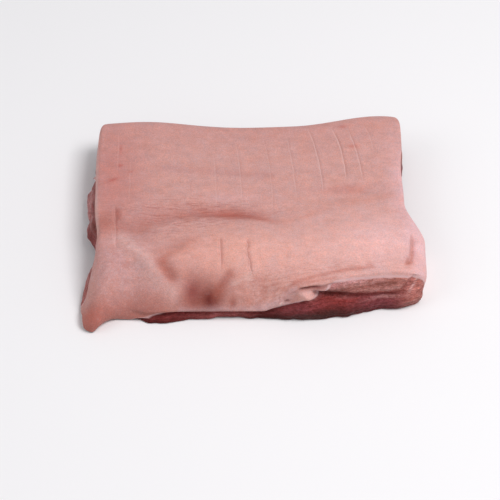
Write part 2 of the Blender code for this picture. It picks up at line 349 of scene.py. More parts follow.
def left_profile(y, share):
    lobes = 9 * hump(y, 33, 12) + 9 * hump(y, -13, 14) + 7 * hump(y, 13, 12)
    lean_bulge = np.minimum(lobes, 8.5) * hump(share, 0.6, 0.24) * ramp(-y, -50, -42) * ramp(y, -34, -22)
    thick_edge = 6.5 * hump(share, 0.7, 0.4) * ramp(-y, 45, 66) * ramp(y, -110, -96)
    return mix(strata(share), 0.0, ramp(-y, 35, 60)) + lean_bulge + thick_edge


def stand_out(share):
    """How far each border point's cut side stands out from the rind's edge, at a share of the way down."""
    x, y = edge[:, 0], edge[:, 1]
    profile = front_profile(x, share) * facing_front + right_profile(y, share) * facing_right
    return profile + (strata(share) - 3 * share) * facing_back + left_profile(y, share) * facing_left


shares = np.arange(1, COURSES + 1) / COURSES
stand = np.array([stand_out(share) for share in shares])
height = np.array([mix(edge[:, 2], FOOT_LIFT, share) for share in shares])
print("the cut sides stand out", round(float(stand.min()), 1), "to", round(float(stand.max()), 1), "mm")

# %% [markdown]
# ## Which layer shows where
#
# A belly is built in layers that lie parallel to the rind: rind, fat, a lean band, a thin line of fat, a thicker
# lean band. So every point of a cut side gets two numbers. `below` is how far down it is from the edge of the rind,
# and `depth` is which layer it lies in. The finish reads both, and the fine ridges of the cut follow `depth` too,
# so that what is seen and what is felt are the same bands. At the front right the layers sweep up to the rind,
# because the slab's side is rolled under there, and on the rolled side rind covers the wall down to the table.

# %% Layers of the cut sides
COVERED_FOOT = 2.0  # height at which the rind stops where it covers a side
SPLIT_DEPTH, FOOT_DEPTH = 20.0, 46.0  # layers that show at the split and at the foot of the front cut
LIP = [  # places along the front, and the height that the rind comes down to there
    (-112, 2), (-102, 5), (-94, 7.5), (-84, 10), (-72, 12), (-20, 12), (17, 13), (24, 15.6), (33, 19.2), (41, 22.4),
    (48, 24), (57, 26.5),
]


def rind_end():
    """Height at which the rind stops at each border point."""
    x, y = edge[:, 0], edge[:, 1]
    rolled = ramp(-y, -ROLL_START, -ROLL_FULL) * ramp(y, -86, -76) * facing_right
    lobe = ramp(-x, 104, 112) * facing_front + ramp(-y, 92, 104) * facing_left
    covered = np.clip(rolled + lobe, 0, 1)
    lip = np.interp(x, *zip(*LIP))
    cut_edge = mix(edge[:, 2], np.minimum(lip, edge[:, 2]), facing_front * (1 - ramp(x, 55, 80)))
    cut_edge -= 2 * ramp(x, 88, 112) * facing_front
    return mix(cut_edge, COVERED_FOOT, covered)


wall_plain = edge + np.zeros((COURSES, 1, 1))
wall_plain[..., 2] = height
below = np.maximum(rind_end() - height, 0)
split = split_height(edge[:, 0])
above_split = SPLIT_DEPTH * (edge[:, 2] - height) / np.maximum(edge[:, 2] - split, 1)
under_split = SPLIT_DEPTH + (FOOT_DEPTH - SPLIT_DEPTH) * (split - height) / split
layered = OPEN_EDGE - height
layered = mix(layered, np.where(height > split, above_split, under_split), facing_front * ramp(edge[:, 0], 36, 46))
lumps = 2.2 * wander(wall_plain, (34, 34, 16), 3.1)
depth = np.maximum(layered + lumps, 0)
print("layers run from", round(float(depth.min()), 1), "to", round(float(depth.max()), 1), "mm under the rind")

# %% Rough relief of the cut sides
SOFT_LUMP, LAYER_RIDGE, TORN_GRAIN, RAGGED_FOOT = 24, (16, 16, 2.6), (5, 5, 3), (9, 9, 50)  # sizes in mm
swell = np.sin(np.pi * np.minimum(shares, 0.75))[:, None]
stand += 1.6 * swell * wander(wall_plain, SOFT_LUMP)
cut = ramp(below, 0.5, 3)
layer_places = np.stack([wall_plain[..., 0], wall_plain[..., 1], depth], axis=-1) / LAYER_RIDGE
stand += cut * 0.75 * wander(layer_places, 1.0, 7.7)
stand += cut * 0.5 * wander(wall_plain, TORN_GRAIN, 1.9)
under_lip = facing_front * (1 - ramp(edge[:, 0], 52, 60))
stand -= (0.35 + 1.5 * under_lip) * hump(below, 3.2, 2) * (below > 0)
ragged = (1.2 + 0.5 * ramp(-edge[:, 0], -30, 0)) * wander(edge, RAGGED_FOOT, 5.2) * facing_front
stand += ragged * ramp(shares, 0.3, 0.9)[:, None] * cut
print("rough cut stands out", round(float(stand.min()), 1), "to", round(float(stand.max()), 1), "mm")

# %% Nubs and shreds
FRONT_NUBS = {  # on the front cut: place along it, height, reach along and up, turn, how far it stands out
    "large nub": (52.5, 28.5, 5.6, 4.2, -20, 5.0),
    "its tip": (46.5, 33.5, 5.0, 2.2, -42, 2.6),
    "small nub": (28, 21, 3.0, 1.8, 15, 2.4),
    "pit beside it": (34.5, 23.5, 2.4, 1.6, 0, -1.8),
    "fat lump": (66, 37, 6.0, 3.0, 20, 1.8),
    "fat lump, right": (84, 39, 7.0, 3.0, 25, 1.6),
    "curl": (147, 16, 11, 10, 30, 2.5),
    "hollow in the curl": (150, 24, 3, 6, -35, -1.6),
}
LEFT_NUBS = {  # the same on the left side
    "shred": (37, 37, 1.8, 1.6, 0, 2.6),
    "spur": (-104, 7, 3.0, 4.0, 0, 2.2),
}
for nubs, place_along, facing in ((FRONT_NUBS, edge[:, 0], facing_front), (LEFT_NUBS, edge[:, 1], facing_left)):
    for *where, out_by in nubs.values():
        stand += out_by * spot(place_along, height, *where) * facing
wall = wall_plain + out * stand[..., None]
print("wall:", wall.shape[0] * wall.shape[1], "points")

# %% [markdown]
# ## The underside
#
# Nobody sees it, but the part may be turned over, so it gets the shallow grooves that the ribs leave when they are
# drawn. It is a patch stretched between its own four sides, at half the fineness of the rind, because it is nearly
# flat. A flat land runs between the grooves, and that is what the slab rests on.

# %% Points of the underside
RIB_PITCH, RIB_WIDTH, RIB_DEPTH, RIB_COUNT = 42.0, 20.0, 2.6, 6


def patch(loop, columns, rows):
    """Points inside a closed loop, spread evenly between its four sides."""
    corner = [0, columns, columns + rows, 2 * columns + rows]
    ring = np.vstack([loop, loop[:1]])
    front, right = ring[: corner[1] + 1], ring[corner[1] : corner[2] + 1]
    back, left = ring[corner[2] : corner[3] + 1][::-1], ring[corner[3] :][::-1]
    u = np.linspace(0, 1, columns + 1)[None, :, None]
    v = np.linspace(0, 1, rows + 1)[:, None, None]
    sides = mix(front[None], back[None], v) + mix(left[:, None], right[:, None], u)
    corners = mix(mix(front[0], front[-1], u), mix(back[0], back[-1], u), v)
    return sides - corners


def rib_grooves(points):
    v = np.linspace(0, 1, points.shape[0])[:, None]
    along = ramp(v, 0.25, 0.55) * (1 - ramp(v, 0.9, 0.999))
    first = -RIB_PITCH * (RIB_COUNT - 1) / 2
    centres = first + RIB_PITCH * np.arange(RIB_COUNT)
    across = sum(1 - ramp(abs(points[..., 0] - centre), RIB_WIDTH / 5, RIB_WIDTH / 2) for centre in centres)
    return RIB_DEPTH * along * across


foot = wall[-1][::2] - outward(edge)[::2] * FOOT_TURN
foot[:, 2] = 0
under = patch(foot, COLUMNS // 2, ROWS // 2)
under[..., 2] = rib_grooves(under)
print("underside:", under.shape[0] * under.shape[1], "points, grooves", under[..., 2].max().round(1), "mm deep")

# %% [markdown]
# ## Small relief of the rind
#
# Over the large forms lie the creases and a faint unevenness, as on any skin over soft fat. They fade out at the
# sides, where the knife has left a clean edge.

# %% Creases and unevenness
CLEAN_EDGE = 0.06  # share of the half size in which the creases fade out
x, y = rind[..., 0], rind[..., 1]
off_middle, off_middle_row = (abs(np.linspace(-1, 1, count + 1)) for count in (COLUMNS, ROWS))
inside = ramp(1 - np.maximum(off_middle[None], off_middle_row[:, None]), 0, CLEAN_EDGE)
folds, painted_groove_shade = (sum(parts) for parts in zip(*(crease(x, y, *facts) for facts in CREASES.values())))
flat_points = np.stack([x, y, np.zeros_like(x)], axis=-1)
softness = 0.55 * wander(flat_points, 21, 2.3) + 0.28 * wander(flat_points, 8, 4.6)
rind[..., 2] += inside * (folds + softness * mix(0.45, 1.0, ramp(-y, -10, 40)))
print("creases as deep as", round(float(-folds.min()), 2), "mm")

# %% [markdown]
# ## One closed mesh
#
# The three grids share their borders, so they are joined into one closed skin without any merging: the rind's
# border is the top of the wall, and between the wall's foot and the coarser underside lies a band of triangles,
# three to every two steps. Building it from numbered points is quicker than bridging loops, and it always closes.

# %% Faces
def grid_faces(first, columns, rows, flipped=False):
    j, i = np.meshgrid(np.arange(rows), np.arange(columns), indexing="ij")
    start = first + j * (columns + 1) + i
    quads = np.stack([start, start + 1, start + columns + 2, start + columns + 1], axis=-1).reshape(-1, 4)
    return (quads[:, ::-1] if flipped else quads).tolist()


def ring_faces(upper, lower):
    return np.stack([lower, np.roll(lower, -1), np.roll(upper, -1), upper], axis=-1).tolist()


def step_down_faces(outer, inner):
    """Triangles between a ring and one with half as many points inside it."""
    before, middle, after = outer[::2], outer[1::2], np.roll(outer[::2], -1)
    first, second = inner, np.roll(inner, -1)
    bands = [(first, middle, before), (first, second, middle), (second, after, middle)]
    return [triangle for band in bands for triangle in np.stack(band, axis=-1).tolist()]


wall_start = (COLUMNS + 1) * (ROWS + 1)
under_start = wall_start + COURSES * len(edge)
rings = [border[:, 0] * (COLUMNS + 1) + border[:, 1]]
rings += [wall_start + course * len(edge) + np.arange(len(edge)) for course in range(COURSES)]
half = around(COLUMNS // 2, ROWS // 2)
inner_ring = under_start + half[:, 0] * (COLUMNS // 2 + 1) + half[:, 1]
faces = grid_faces(0, COLUMNS, ROWS)
for upper, lower in zip(rings, rings[1:]):
    faces += ring_faces(upper, lower)
faces += step_down_faces(rings[-1], inner_ring)
faces += grid_faces(under_start, COLUMNS // 2, ROWS // 2, flipped=True)
points = np.vstack([rind.reshape(-1, 3), wall.reshape(-1, 3), under.reshape(-1, 3)])
print(len(points), "points,", len(faces), "faces")

# %% Mesh in the frame's place
low, high = (np.array(corner) * 1000 for corner in cad_box)
plan_centre = (points.min(axis=0) + points.max(axis=0))[:2] / 2
SHIFT = np.array([*(plan_centre - (low + high)[:2] / 2), -low[2]])


def to_frame(place):
    """Metres in the frame, from the slab's own millimetres."""
    return (np.asarray(place, dtype=float) - SHIFT) / 1000


mesh = bpy.data.meshes.new("pork_slab")
mesh.from_pydata(to_frame(points).tolist(), [], faces)
mesh.shade_smooth()
slab = bpy.data.objects.new("pork_slab", mesh)
bpy.context.scene.collection.objects.link(slab)
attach(slab, "root")
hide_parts("pork_belly")
print("slab's own origin lies at", SHIFT.round(2), "mm; triangles:", sum(len(face) - 2 for face in faces))

# %% [markdown]
# ## Colours that change slowly
#
# The colour of raw rind drifts over a hand's width: mauve and dull along the back, redder to the left, almost white
# pink on the roll where the fat shines through, and dark red in the two hollows at the front. Such large areas are
# painted on the mesh itself, as a base colour and a list of soft named patches over it. Part of this is painted
# light: the dark red of the fold valley and of the hollows is partly painted shade, the trough, the pit, a faint
# fold behind the valley and the fold under the roll get painted shade, the right rim is paler partly by painted
# light, and the ridge, the left edge and two wet glints get painted highlights. Colours are written as sRGB hex, as
# a colour picker gives them, and one function turns them into the linear light that Blender works in.

# %% Palette
def linear(hex_colour):
    """Linear red, green, blue and alpha of an sRGB hex colour."""
    channels = [int(hex_colour[i : i + 2], 16) / 255 for i in (1, 3, 5)]
    return [c / 12.92 if c <= 0.04045 else ((c + 0.055) / 1.055) ** 2.4 for c in channels] + [1.0]


def towards(colours, hex_colour, share):
    """The colours of many points, each blended with one colour by its own share."""
    return mix(colours, np.array(linear(hex_colour)), share[..., None])


RIND = "#cf9e95"
PATCHES = {  # colour, strength, oval: centre, reach along and across, turn
    "back strip": ("#c9948c", 0.6, (20, 108, 190, 34, 0)),
    "left side": ("#c2827a", 0.75, (-132, 30, 34, 74, 0)),
    "left front": ("#c89a97", 0.65, (-118, -64, 38, 36, 0)),
    "left low": ("#a65f53", 0.85, (-104, -116, 54, 18, 4)),
    "left of the fold": ("#ab6352", 0.65, (-137, -26, 11, 13, 0)),
    "lobe": ("#b0695c", 0.9, (-146, -120, 15, 13, 0)),
    "nose of the roll": ("#df9d8d", 0.7, (-43, -67, 36, 20, -10)),
    "roll, left": ("#e8ae9e", 0.7, (-8, -68, 42, 26, -6)),
    "roll": ("#e4b0a5", 0.85, (80, -60, 92, 32, 6)),
    "roll, right": ("#ebbdb8", 0.75, (122, -52, 34, 34, 0)),
    # paler on the rolled right side, partly painted light where the key light falls
    "right rim": ("#ecc0c0", 0.85, (157, -50, 12, 50, 0)),
    "front lip": ("#e0a89c", 0.55, (-2, -107, 62, 9, 0)),
    "over the split": ("#dba79c", 0.6, (30, -103, 28, 11, -20)),
    "brown spot 1": ("#a45a4a", 0.7, (-15, -106, 3.5, 3.5, 0)),
    "brown spot 2": ("#b87666", 0.35, (12, -98, 7, 6, -10)),
    "brown spot 3": ("#b87262", 0.4, (-2, -105, 5, 3, 0)),
    "brown spot 4": ("#ac6555", 0.5, (38, -105, 6, 4, 0)),
    "brown spot 5": ("#b4705f", 0.5, (8, -107, 4, 2.5, 0)),
    # two painted highlights: glints of light on wet skin
    "painted wet glint": ("#f0cdc4", 0.5, (-13, -95, 5, 2, 10)),
    "painted wet glint, right": ("#f3cfc4", 0.4, (-1, -91, 5, 3, 20)),
    # the dark red around and in the two hollows is partly painted shade
    "round the hollows": ("#aa6253", 0.8, (-43, -102, 28, 13, 0)),
    "hollow, left": ("#934f4a", 0.85, (-52, -99, 7.5, 9, 0)),
    "hollow, right": ("#6a2a26", 0.95, (-36, -103.5, 9.5, 7, 0)),
    # painted shade in the pocket of the pit, strongest low down
    "pit": ("#cd9081", 0.7, (150, -58, 1.9, 15, -4)),
    "pit, low": ("#bd7765", 0.7, (146, -74, 2.6, 5, -30)),
    "right edge": ("#e2b7b8", 0.65, (146, 24, 14, 56, 0)),
    "above the valley": ("#dcaba6", 0.5, (-18, 7, 30, 7, 0)),
    "right of the valley": ("#dfb0a9", 0.4, (64, -22, 44, 10, 12)),
    "left of the valley": ("#cc9a94", 0.5, (-92, -8, 22, 12, 0)),
    # the dark red of the fold valley is partly painted shade in the fold
    "valley": ("#ac5c50", 0.9, (-20, -13, 28, 6.5, -4)),
    "valley, right end": ("#b96f61", 0.65, (9, -20, 19, 4.5, -18)),
    "valley, left end": ("#bd7b70", 0.5, (-62, -14, 34, 8, 8)),
    "shade under the scores": ("#bf7a6d", 0.5, (93, 19, 22, 6, 4)),
    "red spot 1": ("#b85f52", 0.5, (91, 101, 4, 2.5, 0)),
    "red spot 2": ("#bd6c60", 0.5, (100, 74.5, 5, 2.5, 0)),
    "red spot 3": ("#c4685a", 0.45, (-124, 70, 1.6, 6, 0)),
    "red spot 4": ("#bd5b4c", 0.6, (-123.5, 49, 2.6, 2, 0)),
    "red spot 5": ("#b4574c", 0.6, (-130, 30, 5.5, 1.9, 25)),
    "red spot 6": ("#bd5b4c", 0.5, (-113.5, 41, 2.4, 1.4, 0)),
}
STROKES = {  # colour, strength, width, points that it runs through
    # painted shade of a faint fold that the relief doesn't have
    "painted shade of a faint fold behind the valley": ("#b9857f", 0.35, 5.0, [(-84, 46), (-40, 41), (20, 36)]),
    # the valley's strokes, and its left end below, are partly painted shade in the fold
    "valley, wide": ("#bd7d72", 0.35, 10.0, [(-100, -24), (-70, -15), (-44, -12), (-16, -16)]),
    "valley, right": ("#cf9385", 0.4, 5.0, [(34, -26), (60, -14), (82, -1), (109, 5), (134, 12)]),
    "left fold's shade": ("#a9665b", 0.55, 2.6, [(-123, -10), (-122, -19)]),
    "left end of the valley": ("#b27569", 0.5, 9.0, [(-120, -28), (-98, -34)]),
    # painted highlight on the ridge, where it faces the key light
    "ridge": ("#e1b6ae", 0.65, 8.0, [(-120, -44), (-104, -62), (-93, -76), (-82, -90), (-70, -99)]),
    "left of the nose": ("#bd8479", 0.45, 7.0, [(-52, -49), (-68, -56), (-80, -64)]),
    "nose's edge": ("#bb7867", 0.4, 4.5, [(-60, -58), (-72, -65), (-80, -73)]),
    # painted shade in the trough beside the ridge
    "painted shade in the trough": ("#ab6353", 0.75, 7.0, [(-80, -77), (-76, -83), (-72, -88)]),
    # partly painted shade, as in the hollows
    "spur of the hollow": ("#a55d4f", 0.6, 4.6, [(-18, -89), (-24, -95), (-30, -101)]),
    # painted shadow of the fold under the roll, along the rind's edge
    "painted shadow under the roll": ("#c38376", 0.7, 2.0, [(40, -100), (62, -93), (88, -86), (112, -82)]),
    "brown line under it": ("#b97466", 0.45, 1.3, [(44, -102), (60, -98), (78, -94)]),
    "fat at the rind's edge": ("#d0a09e", 0.55, 5.5, [(88, -99), (112, -97), (136, -95), (148, -93)]),
    # painted light on the rind's left edge, which the key light leaves in shade
    "painted light on the left edge": ("#e2b9b1", 0.6, 2.0, [(-148, 90), (-146, 20), (-142, -36)]),
    "pale lip": ("#d9b1b0", 0.6, 1.8, [(-64, -109.5), (0, -108.5), (22, -107), (42, -104)]),
}


def painted(x, y, patches, strokes=None, base=None):
    """Linear colour and cover at each place: the base colour, if any, with each patch and stroke laid over it."""
    colour = np.ones(x.shape + (1,)) * (linear(base) if base else np.zeros(4))
    covers = [(hex_colour, strength * spot(x, y, *where)) for hex_colour, strength, where in patches.values()]
    for hex_colour, strength, width, run in (strokes or {}).values():
        covers.append((hex_colour, strength * stroke(x, y, run, width)))
    for hex_colour, cover in covers:
        colour = towards(colour, hex_colour, cover)
    colour[..., :3] /= np.maximum(colour[..., 3:], 1e-6)
    return colour


print("rind", [round(c, 3) for c in linear(RIND)], "with", len(PATCHES), "patches and", len(STROKES), "strokes")

# %% Colours of the front cut
FLESH = {  # colour, strength, oval: place along the slab, height, reach along and up, turn
    # the strip of lean along the foot, under the rind's lip: its darkest parts are painted shade
    "strip": ("#7a3634", 0.75, (-70, 5, 60, 8, 0)),
    "strip, low": ("#4f1817", 0.8, (-84, 1, 24, 4, 0)),
    "strip, middle": ("#a35e5c", 0.8, (-22, 7, 26, 6, 0)),
    "strip, right": ("#3c0c0a", 0.95, (24, 2.5, 28, 6.5, 6)),
    "purple lean, left": ("#86424a", 0.75, (52, 16, 16, 6, 14)),
    "deep red": ("#96221a", 0.8, (76, 21, 24, 8, -8)),
    # painted shade in the recess of the split
    "painted shade in the split": ("#480c09", 0.97, (76, 28.5, 17, 5.5, -8)),
    # painted shadow under the rind's edge
    "painted shadow under the rind's edge": ("#7c2c25", 0.9, (62, 36.5, 24, 1.6, 0)),
    "mauve under the rind": ("#c99795", 0.65, (86, 39, 30, 4, 4)),
    "mauve fat": ("#a87479", 0.8, (63.5, 30, 5, 3, 12)),
    "purple lean": ("#88454a", 0.75, (116, 10, 28, 10, 0)),
    # painted shade along the foot, under the lip
    "low strip": ("#370b0a", 0.97, (66, 4.5, 32, 9, 4)),
    "lean over it": ("#8c3f40", 0.5, (56, 17, 26, 4, 10)),
    "brown lean": ("#b67a71", 0.7, (116, 29, 30, 6.5, 0)),
    "brown streak": ("#854339", 0.7, (118, 31, 22, 1.5, 3)),
    "pale line": ("#c08c86", 0.6, (114, 24, 24, 1.2, 6)),
    "red line": ("#7c332e", 0.7, (124, 20, 18, 1.8, 4)),
    "fat line": ("#cf9d98", 0.6, (126, 16, 16, 1.3, 4)),
    "curl": ("#c17e73", 0.9, (153, 20, 13, 24, 0)),
    "swirl": ("#e2b9b4", 0.8, (149, 24, 5.5, 1.3, 58)),
    "pale crumb": ("#e0b4ac", 0.7, (154, 31, 2.2, 1.2, 20)),
    "brown hill": ("#a4604f", 0.6, (134, 35, 9, 3, 20)),
    "large nub": ("#eabdb6", 0.95, (52.5, 28.5, 6, 4.2, -20)),
}
FRONT_RIND = {  # the same, on the rind that folds down over the front
    "large nub": FLESH["large nub"],
    "its tip": ("#e8bab3", 0.9, (46.5, 33.5, 5.5, 2, -42)),
    "small nub": ("#f0ccc6", 0.9, (28, 21, 3, 1.8, 15)),
    "pit beside it": ("#7c352d", 0.8, (34.5, 23.5, 2.6, 1.6, 0)),
    # painted shadow under the rind's edge
    "painted shadow under the rind's edge": ("#7c2c25", 0.9, (58, 37, 15, 1.8, 0)),
    "mauve fat": ("#a87479", 0.75, (64, 31, 6, 3, 14)),
    "fat streak": ("#e3bfbb", 0.6, (84, 41, 10, 1.6, 18)),
}
print(len(FLESH), "patches on the front cut and", len(FRONT_RIND), "on the rind that folds over it")

# %% Paint on the whole slab
SHADED_LEAN, PALE_LEAN, LOBE_LEAN, DRY_EDGE, CORNER_FLESH = "#8c3f3a", "#c98b87", "#70251f", "#bb766d", "#d1988c"
skin = [painted(part[..., 0], part[..., 1], PATCHES, STROKES, RIND) for part in (rind, wall, under)]
# painted shade in the grooves of the creases
skin[0] = towards(skin[0], "#b4695c", 0.22 * painted_groove_shade)
on_fold = painted(wall_plain[..., 0], height, FRONT_RIND)
skin[1] = mix(skin[1], on_fold, on_fold[..., 3:] * facing_front[:, None])
on_front = painted(wall_plain[..., 0], height, FLESH)
on_front[..., 3] *= facing_front
by_the_lobe = ramp(-wall_plain[..., 1], 45, 60)
# painted shade on the left cut just under the rind's edge, paler lower down
on_left = towards(np.array(linear(SHADED_LEAN)), PALE_LEAN, ramp(below + 3 * wander(wall_plain, 9, 6.1), 8, 18))
on_left = towards(on_left, LOBE_LEAN, 0.8 * hump(wall_plain[..., 1], -20, 13))
on_left = towards(on_left, DRY_EDGE, by_the_lobe)
left_cover = 0.8 * facing_left * np.maximum(ramp(height, 3, 12), by_the_lobe)
on_cut = mix(on_front, on_left, left_cover[..., None])
on_cut = towards(on_cut, CORNER_FLESH, 0.9 * facing_right * ramp(-wall_plain[..., 1], 60, 78))
print("paint covers", round(100 * float(on_cut[..., 3].mean())), "percent of the cut sides, the rest shows bands")

# %% Attributes that the finish reads
def on_points(name, of_rind, of_wall, of_under):
    """Keeps a number or a colour at every point of the mesh."""
    coloured = np.shape(of_rind)[-1] == 4
    parts = [np.reshape(part, (-1, 4)) if coloured else np.ravel(part) for part in (of_rind, of_wall, of_under)]
    values = np.concatenate(parts)
    kind, field = ("FLOAT_COLOR", "color") if coloured else ("FLOAT", "value")
    mesh.attributes.new(name, kind, "POINT").data.foreach_set(field, values.astype(np.float32).ravel())
    print(name, "from", values.min().round(2), "to", values.max().round(2))


def share_of_finish(part, everywhere, ovals):
    """How strongly a finish shows on a part: a little everywhere, and more or less in each oval."""
    x, y = part[..., 0], part[..., 1]
    return np.minimum(everywhere + sum(strength * spot(x, y, *where) for strength, where in ovals), 1)


UNDER_DEPTH = 60.0  # deeper than any band, so that the underside gets a colour of its own
WRINKLED = [  # strength, oval: the valley and its left end, the roll's front, the rind over the split
    (0.8, (-42, -12, 62, 13, -4)),
    (0.7, (-66, -20, 62, 28, 6)),
    (0.5, (92, -84, 70, 9, 8)),
    (0.6, (30, -100, 30, 8, -10)),
]
# places where the rind gets ruddy blotches and painted glints
BLOTCH_GLINT_AREAS = [(1.0, (16, -103, 44, 13, 0)), (0.6, (-116, -82, 46, 42, 0)), (-0.1, (-44, -100, 26, 16, 0))]
no_share = [np.zeros(part.shape[:2]) for part in (rind, wall, under)]
no_paint = [np.zeros(part.shape[:2] + (4,)) for part in (rind, wall, under)]
on_points("tint", *skin)
on_points("flesh", no_paint[0], on_cut, no_paint[2])
on_points("below", no_share[0], below, no_share[2] + UNDER_DEPTH)
on_points("depth", no_share[0], depth, no_share[2] + UNDER_DEPTH)
on_points("wrinkled", share_of_finish(rind, 0.1, WRINKLED), no_share[1], no_share[2])
on_points("blotch_glint_area", *(share_of_finish(part, 0.12, BLOTCH_GLINT_AREAS) for part in (rind, wall, under)))

# %% [markdown]
# ## The finish, layer by layer
#
# Raw pork is a wet, slightly see-through solid: light goes in, comes out redder a few millimetres away, and leaves a
# soft gloss on top. So the shader is a plain non-metal with a little subsurface light, an IOR near that of water
# film on skin, and a roughness that is lower on the wet cut than on the dry rind. One material covers the slab,
# because rind and cut meet at a soft, uneven line that a border between two materials would turn into a hard one.
# A single function adds each node, so the code below reads as a list of patterns.

# %% One node at a time
pork = bpy.data.materials.new("raw_pork_belly")
pork.use_nodes = True
pork.node_tree.nodes.clear()


def add(kind, inputs=None, output=None, stops=None, **settings):
    """Adds a node, sets it up, and links or fills its inputs. Returns its output."""
    made = pork.node_tree.nodes.new("ShaderNode" + kind)
    for name, value in settings.items():
        setattr(made, name, value)
    sockets = [socket for socket in made.inputs if socket.enabled]
    for name, value in (inputs or {}).items():
        socket = sockets[name] if isinstance(name, int) else next(s for s in sockets if s.name == name)
        if isinstance(value, bpy.types.NodeSocket):
            pork.node_tree.links.new(value, socket)
        else:
            socket.default_value = value
    for number, (place, hex_colour) in enumerate(stops or []):
        ladder = made.color_ramp.elements
        stop = ladder[number] if number < 2 else ladder.new(place)
        stop.position, stop.color = place, linear(hex_colour)
    return made.outputs[output] if output else next(socket for socket in made.outputs if socket.enabled)


place = add("VectorMath", {0: add("TexCoord", output="Object"), "Scale": 1000.0}, operation="SCALE")
tint = add("Attribute", output="Color", attribute_name="tint")
flesh = add("Attribute", output="Color", attribute_name="flesh")
flesh_cover = add("Attribute", output="Alpha", attribute_name="flesh")
below_rind = add("Attribute", output="Fac", attribute_name="below")
layer_depth = add("Attribute", output="Fac", attribute_name="depth")
wrinkle_share = add("Attribute", output="Fac", attribute_name="wrinkled")
blotch_glint_amount = add("Attribute", output="Fac", attribute_name="blotch_glint_area")
print("coordinates in millimetres and", len(mesh.color_attributes), "painted colours")

# %% [markdown]
# ## The rind's small patterns
#
# Rind that has been scalded and scraped is finely grained, with pores about 2 mm apart, a cloudy mottling about
# 8 mm across, and in the folds long thin wrinkles 1 to 2 mm wide that run along the slab, darkened partly as
# painted shade in their grooves. Along the low front and on the left it is blotched too, ruddy where blood shows
# through, and the same places get pale flecks that are painted glints of wet skin. The pores are finer than the
# render can show, so they are drawn a little coarser than on a real skin. Each pattern is a noise whose size is
# given in millimetres, and the stretched ones have a size for each axis.

# %% Mottling, grain, pores and wrinkles
MOTTLE, GRAIN, FINE_HUE, PORE, STREAK, WRINKLE = 8, 1.1, 1.3, 2.6, (16, 6, 16), (11, 1.5, 11)
mottle = add("TexNoise", {"Vector": place, "Scale": 1 / MOTTLE, "Detail": 4.0, "Roughness": 0.6})
long_place = add("VectorMath", {0: place, 1: STREAK}, operation="DIVIDE")
streaks = add("TexNoise", {"Vector": long_place, "Scale": 1.0, "Detail": 3.0, "Distortion": 0.6})
grain = add("TexNoise", {"Vector": place, "Scale": 1 / GRAIN, "Detail": 2.0, "Roughness": 0.7})
hue_place = add("VectorMath", {0: place, 1: (0.0, 80.0, 0.0)}, operation="ADD")
fine_noise = add("TexNoise", {"Vector": hue_place, "Scale": 1 / FINE_HUE})
fine_warmth = add("MapRange", {0: fine_noise, 1: 0.35, 2: 0.65})
pores = add("TexVoronoi", {"Vector": place, "Scale": 1 / PORE, "Randomness": 1.0}, output="Distance")
pits = add("MapRange", {0: pores, 1: 0.0, 2: 0.28, 3: 1.0, 4: 0.0})
along_slab = add("VectorMath", {0: place, 1: WRINKLE}, operation="DIVIDE")
waves = add("TexNoise", {"Vector": along_slab, "Scale": 1.0, "Detail": 3.0, "Roughness": 0.6, "Distortion": 0.4})
ripples = add("MapRange", {0: waves, 1: 0.48, 2: 0.66, 3: 0.0, 4: 1.0})
wrinkles = add("Math", {0: ripples, 1: wrinkle_share}, operation="MULTIPLY")
print("mottling", MOTTLE, "mm, grain", GRAIN, "mm, pores", PORE, "mm, wrinkles", WRINKLE[1], "mm")

# %% Ruddy blotches and painted glints
RUDDY_BLOTCH, GLINT_FLECK = 6, 2.5
ruddy_noise = add("TexNoise", {"Vector": place, "Scale": 1 / RUDDY_BLOTCH, "Detail": 4.0, "Roughness": 0.65})
ruddy_share = add("MapRange", {0: ruddy_noise, 1: 0.47, 2: 0.68})
ruddy = add("Math", {0: ruddy_share, 1: blotch_glint_amount}, operation="MULTIPLY")
# pale flecks in the blotched places: painted glints of light on wet skin
glint_fleck_place = add("VectorMath", {0: place, 1: (40.0, 0.0, 0.0)}, operation="ADD")
glint_fleck_noise = add("TexNoise", {"Vector": glint_fleck_place, "Scale": 1 / GLINT_FLECK})
glint_fleck_share = add("MapRange", {0: glint_fleck_noise, 1: 0.56, 2: 0.76})
painted_glints = add("Math", {0: glint_fleck_share, 1: blotch_glint_amount}, operation="MULTIPLY")
print("ruddy blotches", RUDDY_BLOTCH, "mm, pale ones", GLINT_FLECK, "mm")

# %% [markdown]
# ## Knife scores
#
# The back of the rind carries faint scores that run from back to front, each bowed a little to the right. A score is
# a hair's breadth wide, too thin for the mesh, so it is drawn by the shader: the distance to a bowed line, worked
# out from the point's own place, makes a pale lip on its left, a painted highlight, and a fine painted shadow on its
# right. The creases get such a line too, down in the groove.

